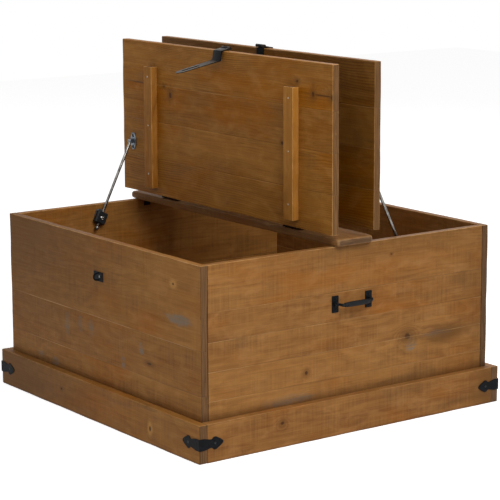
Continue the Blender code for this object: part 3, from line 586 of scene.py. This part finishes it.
def screw_mesh(name, radius, dome, crossed):
    """A screw head with a real recess, its seat at the origin and its face towards +Z."""
    count = len(SCREW_STEPS)
    points = []
    for v in SCREW_STEPS:
        for u in SCREW_STEPS:
            x, y = u * math.sqrt(1 - v * v / 2), v * math.sqrt(1 - u * u / 2)
            reach = min(1.0, math.hypot(x, y))
            level = dome * (RIM_SHARE + (1 - RIM_SHARE) * math.sqrt(1 - reach ** 2))
            bar = abs(v) <= SLOT_HALF and abs(u) <= (CROSS_REACH if crossed else 1.0)
            cross = crossed and abs(u) <= SLOT_HALF and abs(v) <= CROSS_REACH
            if bar or cross:
                level -= RECESS_DEPTH * dome
            points.append((x * radius, y * radius, level))
    faces = [(k, k + 1, k + count + 1, k + count)
             for k in range(count * (count - 1)) if (k + 1) % count]
    rows = range(count)
    rim = [*rows, *(j * count + count - 1 for j in rows[1:]),
           *(count * (count - 1) + i for i in rows[-2::-1]), *(j * count for j in rows[-2:0:-1])]
    base = len(points)
    points += [(*points[k][:2], 0.0) for k in rim]
    for k in range(len(rim)):
        after = (k + 1) % len(rim)
        faces.append((rim[after], rim[k], base + k, base + after))
    faces.append([base + k for k in reversed(range(len(rim)))])
    mesh = bpy.data.meshes.new(name)
    mesh.from_pydata(points, [], faces)
    return mesh


def drive_screws(prefix, body, material, radius, dome, crossed, seats):
    """Put a screw head on each seat, which is a place and the way that its face looks."""
    for number, (place, facing) in enumerate(seats):
        item = bpy.data.objects.new(f"{prefix}_screw_{number + 1}",
                                    screw_mesh(prefix + "_screw", radius, dome, crossed))
        spin = Matrix.Rotation(NEXT_SPIN * number + FIRST_SPIN, 4, "Z")
        turn = Vector(facing).to_track_quat("Z", "Y").to_matrix().to_4x4()
        item.matrix_world = Matrix.Translation(place) @ turn @ spin
        join_body(item, body, material)


# Old zinc plate, which gives a pale grey speck with a soft glint
screw_steel = metal("worn_screw_steel", "#B9B2A4", "#6B6459", (3.333,) * 3, (0.32, 0.5), 0.06)
for end, turn in ENDS:
    for side_name in ("left", "right"):
        low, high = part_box(f"{end}_batten_{side_name}")
        face = (low.y if turn == 1 else high.y) + turn * BATTEN_SCREW_SUNK
        seats = [(Vector(((low.x + high.x) / 2, face, z)), (0, -turn, 0)) for z in BATTEN_SCREW_Z]
        drive_screws(f"{end}_batten_{side_name}", end + "_lid_set", screw_steel,
                     BATTEN_SCREW_R, BATTEN_SCREW_DOME, True, seats)

# Corner brackets and rail angles
# Pressed iron plates, dipped in black japan that has dulled. A bracket with spade ends is
# screwed round each corner of the plinth, and an angle under each end of the rail.
PLATE_SOFT, CLEAN_GAP, CLEAN_ANGLE = 0.0004, 0.00001, math.radians(1.5)
BEVEL_STEPS, BEVEL_ANGLE = 3, math.radians(32)
BLACK_SCREW_R, BLACK_SCREW_DOME, BRACKET_SCREW_IN = 0.0030, 0.0006, 0.0435


def softened(cad_name, body, material, soft, change=None):
    """Dress a CAD fitting with a copy whose edges are eased; change(point) may move points."""
    shape = bmesh.new()
    shape.from_mesh(frame["nodes"][cad_name].data)
    bmesh.ops.remove_doubles(shape, verts=shape.verts, dist=CLEAN_GAP)
    bmesh.ops.dissolve_limit(shape, angle_limit=CLEAN_ANGLE, verts=shape.verts, edges=shape.edges)
    if change:
        for vert in shape.verts:
            vert.co = change(vert.co)
    mesh = bpy.data.meshes.new(cad_name + "_metal")
    shape.to_mesh(mesh)
    shape.free()
    mesh.materials.clear()
    item = bpy.data.objects.new(cad_name + "_metal", mesh)
    bevel = item.modifiers.new("eased_edges", "BEVEL")
    bevel.width = soft
    bevel.segments = BEVEL_STEPS
    bevel.limit_method = "ANGLE"
    bevel.angle_limit = BEVEL_ANGLE
    bevel.use_clamp_overlap = True
    join_body(item, body, material)
    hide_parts(cad_name)


# Dull black lacquer, which gives a near black with hardly a highlight
japan = metal("black_japanned_iron", "#14161A", "#060708", (6.25,) * 3, (0.50, 0.70), 0.12,
              metallic=0.0, shine=0.09)
# Oiled steel, which catches a little more light than the plates round it
oiled_screw = metal("oiled_black_screw_steel", "#3A3C40", "#17181B", (3.333,) * 3, (0.30, 0.45),
                    0.05, metallic=0.5, shine=0.2)
low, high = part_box("corner_bracket_front_right")
outer_x, outer_y = high.x - BLACK_SCREW_DOME, -low.y - BLACK_SCREW_DOME


def let_in(point):
    """The bracket's outer face a little inwards, so that its screws stay level with it."""
    return Vector((math.copysign(min(abs(point.x), outer_x), point.x),
                   math.copysign(min(abs(point.y), outer_y), point.y), point.z))


for end, sign_y in (("front", -1), ("back", 1)):
    for side_name, sign_x in (("left", -1), ("right", 1)):
        name = f"corner_bracket_{end}_{side_name}"
        softened(name, "chest", japan, PLATE_SOFT, let_in)
        low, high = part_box(name)
        z = (low.z + high.z) / 2
        seats = [(Vector((sign_x * outer_x, sign_y * (outer_y - BRACKET_SCREW_IN), z)),
                  (sign_x, 0, 0)),
                 (Vector((sign_x * (outer_x - BRACKET_SCREW_IN), sign_y * outer_y, z)),
                  (0, sign_y, 0))]
        drive_screws(name, "chest", oiled_screw, BLACK_SCREW_R,
                     BLACK_SCREW_DOME * 0.98, True, seats)

for side_name in ("left", "right"):
    softened("rail_angle_" + side_name, "chest", japan, PLATE_SOFT)

# Hinges
# Two iron butt hinges to each lid, one leaf screwed to the rail and one to the lid's upper
# face, with three screws in each leaf.
HINGE_SCREWS, HINGE_SCREW_FAR, HINGE_LEAF = (0.18, 0.50, 0.82), (0.0185, 0.0155, 0.0185), 0.0016
HINGE_SCREW_R, HINGE_SCREW_DOME = 0.0026, 0.0004
# Iron whose black has gone to rust, which gives a dark brown without a highlight
browned = metal("black_iron_gone_brown", "#341A0B", "#1B0D06", (6.25,) * 3, (0.45, 0.65), 0.10,
                metallic=0.0, shine=0.09)
for end, turn in ENDS:
    pin = Vector(joints[end + "_lid_hinge"]["pos_m"])
    for side_name in ("left", "right"):
        for leaf, body, up in (("rail", "chest", (0, 0, 1)),
                               ("lid", end + "_lid_set", (0, turn, 0))):
            name = f"{end}_hinge_{side_name}_{leaf}_leaf"
            softened(name, body, browned, PLATE_SOFT)
            low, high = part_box(name)
            face = (low.y if turn == 1 else high.y) + turn * HINGE_LEAF
            seats = []
            for share, far in zip(HINGE_SCREWS, HINGE_SCREW_FAR):
                x = low.x + share * (high.x - low.x)
                seats.append((Vector((x, pin.y + turn * far, low.z + HINGE_LEAF)
                                     if leaf == "rail" else (x, face, pin.z + far)), up))
            drive_screws(name, body, browned, HINGE_SCREW_R, HINGE_SCREW_DOME,
                         False, seats)

# Hasps
# A plate screwed on each lid's upper face, a pin, and a cranked strap that hangs on it. The
# strap shows bare grey steel, with painted shade across the bend.
SHADED_BEND, BEND_SHADE_FADE, BEND_RAGGED, BLOTCH_MM = 0.0815, (0.0100, 0.0060), 0.004, 7.143
STRAP_METALLIC, PLATE_FACE = 0.9, 0.0023
HASP_SCREW_X, HASP_SCREW_UP = 0.0088, (0.008, 0.027)
PIN_SOFT, ROUND_SIDES = 0.0005, 36


def laid_over(material, share, tint):
    """Lay another colour over a metal's own where share says, and give its shader's inputs."""
    tree = material.node_tree
    inputs = tree.nodes["Principled BSDF"].inputs
    own = inputs["Base Color"].links[0].from_socket
    tone = node(tree, "Mix", {0: share, 6: own, 7: linear(tint)}, **BLEND)
    tree.links.new(tone, inputs["Base Color"])
    return inputs


# Steel rubbed bare on its flats, which gives a dark grey sheen, and a near-black painted shade at
# the bend
worn_strap = metal("bare_strap_steel_with_painted_shade", "#40372B", "#201B16", (22.22, 2.381, 2.381),
                   (0.34, 0.52), 0.09, shine=0.10)
tree = worn_strap.node_tree
place = node(tree, "TexCoord", out=3)
_, reach_y, _ = node(tree, "SeparateXYZ", {0: place}, out=None)
reach_y = node(tree, "Math", {0: reach_y}, operation="ABSOLUTE")
blotch = node(tree, "TexNoise", {"Vector": place, "Scale": 1000 / BLOTCH_MM, "Detail": 4.0})
away = node(tree, "Math", {0: reach_y, 1: SHADED_BEND}, operation="SUBTRACT")
away = node(tree, "Math", {0: away}, operation="ABSOLUTE")
away = node(tree, "Math", {0: blotch, 1: BEND_RAGGED, 2: away}, operation="MULTIPLY_ADD")
# Painted shade, near black and not metallic, across the bend
bend_shade = node(tree, "MapRange", {"Value": away, "From Min": BEND_SHADE_FADE[0],
                               "From Max": BEND_SHADE_FADE[1]}, **EASED)
bare = node(tree, "Math", {0: bend_shade, 1: -STRAP_METALLIC, 2: STRAP_METALLIC},
            operation="MULTIPLY_ADD")
tree.links.new(bare, laid_over(worn_strap, bend_shade, "#0C0C0E")["Metallic"])

for end, turn in ENDS:
    softened(end + "_hasp_plate", end + "_lid_set", japan, PLATE_SOFT)
    softened(end + "_hasp_strap", end + "_hasp_strap", worn_strap, PLATE_SOFT)
    low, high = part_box(end + "_hasp_plate")
    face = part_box(end + "_lid")[1 if turn == 1 else 0].y + turn * PLATE_FACE
    seats = [(Vector((sign * HASP_SCREW_X, face, low.z + up)), (0, turn, 0))
             for sign in (-1, 1) for up in HASP_SCREW_UP]
    drive_screws(end + "_hasp_plate", end + "_lid_set", japan, BLACK_SCREW_R,
                 BLACK_SCREW_DOME, False, seats)


def hoop(centre, across, other, radius, sides):
    """One ring of points round a centre, in the plane of two directions."""
    turns = [math.tau * k / sides for k in range(sides)]
    return [centre + (across * math.cos(t) + other * math.sin(t)) * radius for t in turns]


def round_bar(name, points, sides):
    """A closed skin over hoops that follow one another."""
    faces = []
    for k in range(len(points) - sides):
        after = k + 1 if (k + 1) % sides else k + 1 - sides
        faces.append((k, after, after + sides, k + sides))
    faces += [list(reversed(range(sides))), list(range(len(points) - sides, len(points)))]
    mesh = bpy.data.meshes.new(name)
    mesh.from_pydata(points, [], faces)
    return bpy.data.objects.new(name, mesh)


def lathe(name, start, along, profile):
    """A turned piece: profile gives the radius at each distance along its axis."""
    along = Vector(along).normalized()
    across = along.orthogonal().normalized()
    other = along.cross(across)
    points = []
    for far, radius in profile:
        points += hoop(Vector(start) + along * far, across, other, radius, ROUND_SIDES)
    return round_bar(name, points, ROUND_SIDES)


def eased(length, radius, soft):
    """The profile of a bar whose ends are eased."""
    first = [(0, radius - soft), (soft * 0.3, radius - soft * 0.3), (soft, radius)]
    return first + [(length - far, r) for far, r in reversed(first)]


# Oiled steel, which gives a dull dark grey
pin_steel = metal("oiled_pin_steel", "#33312F", "#171615", (3.333,) * 3, (0.4, 0.6), 0.05,
                  metallic=0.8, shine=0.3)
for end in ("front", "back"):
    low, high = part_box(end + "_hasp_pin")
    middle = (low + high) / 2
    pin = lathe(end + "_hasp_pin_steel", (low.x, middle.y, middle.z), (1, 0, 0),
                eased(high.x - low.x, (high.z - low.z) / 2, PIN_SOFT))
    join_body(pin, end + "_hasp_strap", pin_steel)
    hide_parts(end + "_hasp_pin")

# Staples
# A small iron plate on each panel with a loop of iron wire riveted through it, for the
# strap's slot to drop over and a padlock to hold. A painted highlight, a pale glint, lies on the
# plate beside the loop.
LOOP_RADIUS, LOOP_WIRE, LOOP_STEPS, LOOP_SIDES = 0.0085, 0.0019, 24, 20
STAPLE_SCREW_X, STAPLE_SCREW_R, STAPLE_SCREW_DOME = 0.0155, 0.0026, 0.0003
GLINT_ASIDE, GLINT_WIDTH, GLINT_MIDDLE, GLINT_HEIGHT = 0.0024, 0.00065, 0.3545, 0.0034


def tube(name, path, radii, sides):
    """A round bar of changing radius along a path that bends in one plane."""
    lift = Vector((0, 0, 0))
    for first, second, third in zip(path, path[1:], path[2:]):
        lift += (second - first).cross(third - second)
    lift.normalize()
    points = []
    for i, point in enumerate(path):
        along = path[min(i + 1, len(path) - 1)] - path[max(i - 1, 0)]
        points += hoop(point, lift.cross(along).normalized(), lift, radii[i], sides)
    return round_bar(name, points, sides)


# Black lacquer with a painted highlight, one pale glint. The product of x and y puts it on the
# same hand of both.
plate_with_painted_glint = metal("japanned_iron_with_painted_glint", "#14161A", "#060708", (6.25,) * 3,
                     (0.45, 0.65), 0.12, metallic=0.0, shine=0.09)
tree = plate_with_painted_glint.node_tree
x, y, z = node(tree, "SeparateXYZ", {0: node(tree, "TexCoord", out=3)}, out=None)
aside = node(tree, "Math", {0: x, 1: y, 2: GLINT_ASIDE}, operation="MULTIPLY_ADD")
aside = node(tree, "Math", {0: aside, 1: GLINT_WIDTH}, operation="DIVIDE")
above = node(tree, "Math", {0: z, 1: GLINT_MIDDLE}, operation="SUBTRACT")
above = node(tree, "Math", {0: above, 1: GLINT_HEIGHT}, operation="DIVIDE")
away = node(tree, "CombineXYZ", {0: aside, 1: above})
away = node(tree, "VectorMath", {0: away}, out=1, operation="LENGTH")
painted_glint = node(tree, "MapRange", {"Value": away, "From Min": 1.2, "From Max": 0.7}, **EASED)
laid_over(plate_with_painted_glint, painted_glint, "#D8D4CC")

for end, turn in ENDS:
    softened(end + "_staple_plate", "chest", plate_with_painted_glint, PLATE_SOFT)
    low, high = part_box(end + "_staple_plate")
    face, middle = low.y if turn == 1 else high.y, (low.z + high.z) / 2
    seats = [(Vector((sign * STAPLE_SCREW_X, face, middle)), (0, -turn, 0)) for sign in (-1, 1)]
    drive_screws(end + "_staple_plate", "chest", japan, STAPLE_SCREW_R,
                 STAPLE_SCREW_DOME, False, seats)
    low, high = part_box(end + "_staple_loop")
    tip, root = (low.y, high.y) if turn == 1 else (high.y, low.y)
    bend = tip + turn * (LOOP_RADIUS + LOOP_WIRE)
    path = [Vector((0, root, middle - LOOP_RADIUS))]
    for k in range(LOOP_STEPS + 1):
        angle = math.pi * k / LOOP_STEPS
        path.append(Vector((0, bend - turn * LOOP_RADIUS * math.sin(angle),
                            middle - LOOP_RADIUS * math.cos(angle))))
    path.append(Vector((0, root, middle + LOOP_RADIUS)))
    loop = tube(end + "_staple_loop_iron", path, [LOOP_WIRE] * len(path), LOOP_SIDES)
    join_body(loop, "chest", japan)
    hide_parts(end + "_staple_loop")

# Lid stays
# A drawn steel rod pinned to a zinc plate on the lid. It slides through a moulded nylon
# housing with a polished adjusting screw, which turns on a plate on the side panel.
ROD_RADIUS, ROD_SOFT, PAST_HOUSING = 0.0036, 0.0004, 0.0192
ROD_END_RADIUS, ROD_END_LENGTH, TIP_LENGTH, TIP_SOFT = 0.0048, 0.0140, 0.0040, 0.0012
EYE_RADIUS, EYE_BORE, EYE_WIDTH, EYE_SOFT, BORE_SOFT = 0.0055, 0.0024, 0.0070, 0.0008, 0.0004
HOUSING_SOFT, STAY_SCREW, STAY_SCREW_R, STAY_SCREW_DOME = 0.0009, 0.0148, 0.0038, 0.0005
FERRULE = ROD_END_LENGTH - TIP_LENGTH
EYE_SIDE = [(BORE_SOFT, EYE_BORE), (0, EYE_BORE + BORE_SOFT), (0, EYE_RADIUS - EYE_SOFT),
            (EYE_SOFT, EYE_RADIUS)]
EYE_PROFILE = EYE_SIDE + [(EYE_WIDTH - far, radius) for far, radius in reversed(EYE_SIDE)]
FERRULE_PROFILE = (
    (0, ROD_END_RADIUS - 0.0006), (0.0006, ROD_END_RADIUS), (FERRULE * 0.4, ROD_END_RADIUS),
    (FERRULE * 0.5, ROD_END_RADIUS - 0.0007), (FERRULE * 0.6, ROD_END_RADIUS),
    (FERRULE, ROD_END_RADIUS))
RIM_PROFILE = (
    (0, STAY_SCREW_R), (0.0006, STAY_SCREW_R + 0.0001), (0.0008, STAY_SCREW_R + 0.0006),
    (0.0004, STAY_SCREW_R + 0.0011), (0, STAY_SCREW_R + 0.0012))
# Polished steel, which gives the one bright glint on the housing
polished = metal("polished_screw_steel", "#F2F0EA", "#B8B6B0", (11.11, 1.4286, 1.4286),
                 (0.18, 0.30), 0.02)
# Drawn steel, which gives a light grey bar with a sharp highlight along it
bright = metal("bright_drawn_steel", "#96938E", "#54514D", (11.11, 1.4286, 1.4286),
               (0.24, 0.40), 0.03)
# Zinc with a bluish passivation, which gives a mid grey plate
zinc = metal("blue_passivated_zinc", "#8B939B", "#545B63", (4.545,) * 3, (0.3, 0.48), 0.05,
             metallic=0.9)
# Moulded nylon, which gives a black with broad soft highlights
nylon = metal("moulded_black_nylon", "#202124", "#131416", (2.5,) * 3, (0.45, 0.60), 0.08,
              metallic=0.0, shine=0.25)
for end, turn in ENDS:
    lid_body, rod_body, house_body = end + "_lid_set", end + "_stay_rod", end + "_stay_housing"
    eye = Vector(joints[end + "_stay_rod_pivot"]["pos_m"])
    wall = Vector(joints[end + "_stay_housing_pivot"]["pos_m"])
    along = (wall - eye).normalized()
    reach, into_eye = (wall - eye).length + PAST_HOUSING, EYE_RADIUS * 0.75
    rod = lathe(end + "_stay_rod_steel", eye + along * into_eye, along,
                eased(reach - into_eye, ROD_RADIUS, ROD_SOFT))
    ring = lathe(end + "_stay_rod_eye", eye - Vector((EYE_WIDTH / 2, 0, 0)), (1, 0, 0),
                 EYE_PROFILE)
    sleeve = lathe(end + "_stay_rod_ferrule", eye + along * reach, along, FERRULE_PROFILE)
    for item in (rod, ring, sleeve):
        join_body(item, rod_body, bright)
    tip = lathe(end + "_stay_rod_tip", eye + along * (reach + FERRULE), along,
                eased(TIP_LENGTH, ROD_END_RADIUS, TIP_SOFT))
    join_body(tip, rod_body, nylon)
    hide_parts(end + "_stay_rod")

    softened(end + "_stay_lid_plate", lid_body, zinc, PLATE_SOFT)
    softened(end + "_stay_wall_plate", "chest", zinc, PLATE_SOFT)
    softened(end + "_stay_housing", house_body, nylon, HOUSING_SOFT)
    low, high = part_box(end + "_stay_adjuster")
    middle = (low + high) / 2
    seat = Vector((low.x if turn == 1 else high.x, middle.y, middle.z))
    adjuster = bpy.data.objects.new(end + "_stay_adjuster_screw", screw_mesh(
        end + "_stay_adjuster", (high.z - low.z) / 2, high.x - low.x, True))
    facing = Vector((turn, 0, 0)).to_track_quat("Z", "Y").to_matrix().to_4x4()
    adjuster.matrix_world = Matrix.Translation(seat) @ facing
    join_body(adjuster, house_body, polished)
    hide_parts(end + "_stay_adjuster")

    low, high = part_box(end + "_stay_lid_plate")
    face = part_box(end + "_lid")[0 if turn == 1 else 1].y - turn * PLATE_FACE
    seats = [(Vector(((low.x + high.x) / 2, face, eye.z + sign * STAY_SCREW)), (0, -turn, 0))
             for sign in (-1, 1)]
    drive_screws(end + "_stay_lid_plate", lid_body, japan, STAY_SCREW_R,
                 STAY_SCREW_DOME, True, seats)
    for number, (place, facing) in enumerate(seats):
        rim = lathe(f"{end}_stay_lid_plate_rim_{number + 1}", place, facing, RIM_PROFILE)
        join_body(rim, lid_body, bright)

# Lifting handles
# A forged bail with a thick turned grip hangs in the lugs of two iron plates on each side.
# The whole is black japan, rubbed on the grip.
HANDLE_SCREW, BEND, BEND_STEPS, BAIL_SIDES = 0.0130, 0.0045, 8, 28
ARM_RADIUS, NECK_RADIUS, ARM_PLACE = 0.0026, 0.0040, 0.0432
KNOB_RADIUS, KNOB_TIP_RADIUS, KNOB_END = 0.0042, 0.0030, 0.0569
GRIP_STATIONS = (
    (0.0383, 0.0040), (0.0376, 0.0049), (0.0360, 0.0053), (0.0348, 0.0049), (0.0340, 0.0045),
    (0.0330, 0.0051), (0.0302, 0.0057), (0.0246, 0.0061), (0.0146, 0.0064), (0.0, 0.0065),
)
# Japanned iron polished by hands, which gives a black with a faint shine
rubbed = metal("black_iron_rubbed_by_hands", "#14171A", "#07080A", (9.091, 3.846, 9.091),
               (0.42, 0.60), 0.14, metallic=0.0, shine=0.16)
for side_name, sign in (("right", 1), ("left", -1)):
    pivot = Vector(joints[side_name + "_handle_drop"]["pos_m"])
    low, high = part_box(side_name + "_handle")
    out = (high.x if sign == 1 else -low.x) - GRIP_STATIONS[-1][1] - abs(pivot.x)
    half = [(0, KNOB_END, KNOB_TIP_RADIUS), (0, KNOB_END - 0.0008, KNOB_RADIUS),
            (0, KNOB_END - 0.0030, KNOB_RADIUS), (0, KNOB_END - 0.0037, ARM_RADIUS),
            (0, ARM_PLACE + BEND, ARM_RADIUS)]
    swell = (NECK_RADIUS - ARM_RADIUS) / (2 * BEND_STEPS)
    for k in range(1, BEND_STEPS):
        angle = math.pi / 2 * k / BEND_STEPS
        half.append((BEND * (1 - math.cos(angle)), ARM_PLACE + BEND * (1 - math.sin(angle)),
                     ARM_RADIUS + swell * k))
    for k in range(BEND_STEPS + 1):
        angle = math.pi / 2 * k / BEND_STEPS
        half.append((out - BEND * (1 - math.sin(angle)), ARM_PLACE - BEND * (1 - math.cos(angle)),
                     ARM_RADIUS + swell * (BEND_STEPS + k)))
    half += [(out, y, radius) for y, radius in GRIP_STATIONS]
    full = half + [(x, -y, radius) for x, y, radius in reversed(half[:-1])]
    path = [pivot + Vector((sign * x, y, 0)) for x, y, _ in full]
    bail = tube(side_name + "_handle_bail", path, [radius for _, _, radius in full], BAIL_SIDES)
    join_body(bail, side_name + "_handle", rubbed)
    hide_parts(side_name + "_handle")
    wall_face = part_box(side_name + "_panel")[1 if sign == 1 else 0].x + sign * PLATE_FACE
    for near in ("near", "far"):
        name = f"{side_name}_handle_plate_{near}"
        softened(name, "chest", japan, PLATE_SOFT)
        low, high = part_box(name)
        seats = [(Vector((wall_face, (low.y + high.y) / 2, pivot.z + up)), (sign, 0, 0))
                 for up in (-HANDLE_SCREW, HANDLE_SCREW)]
        drive_screws(name, "chest", japan, BLACK_SCREW_R, BLACK_SCREW_DOME, False,
                     seats)
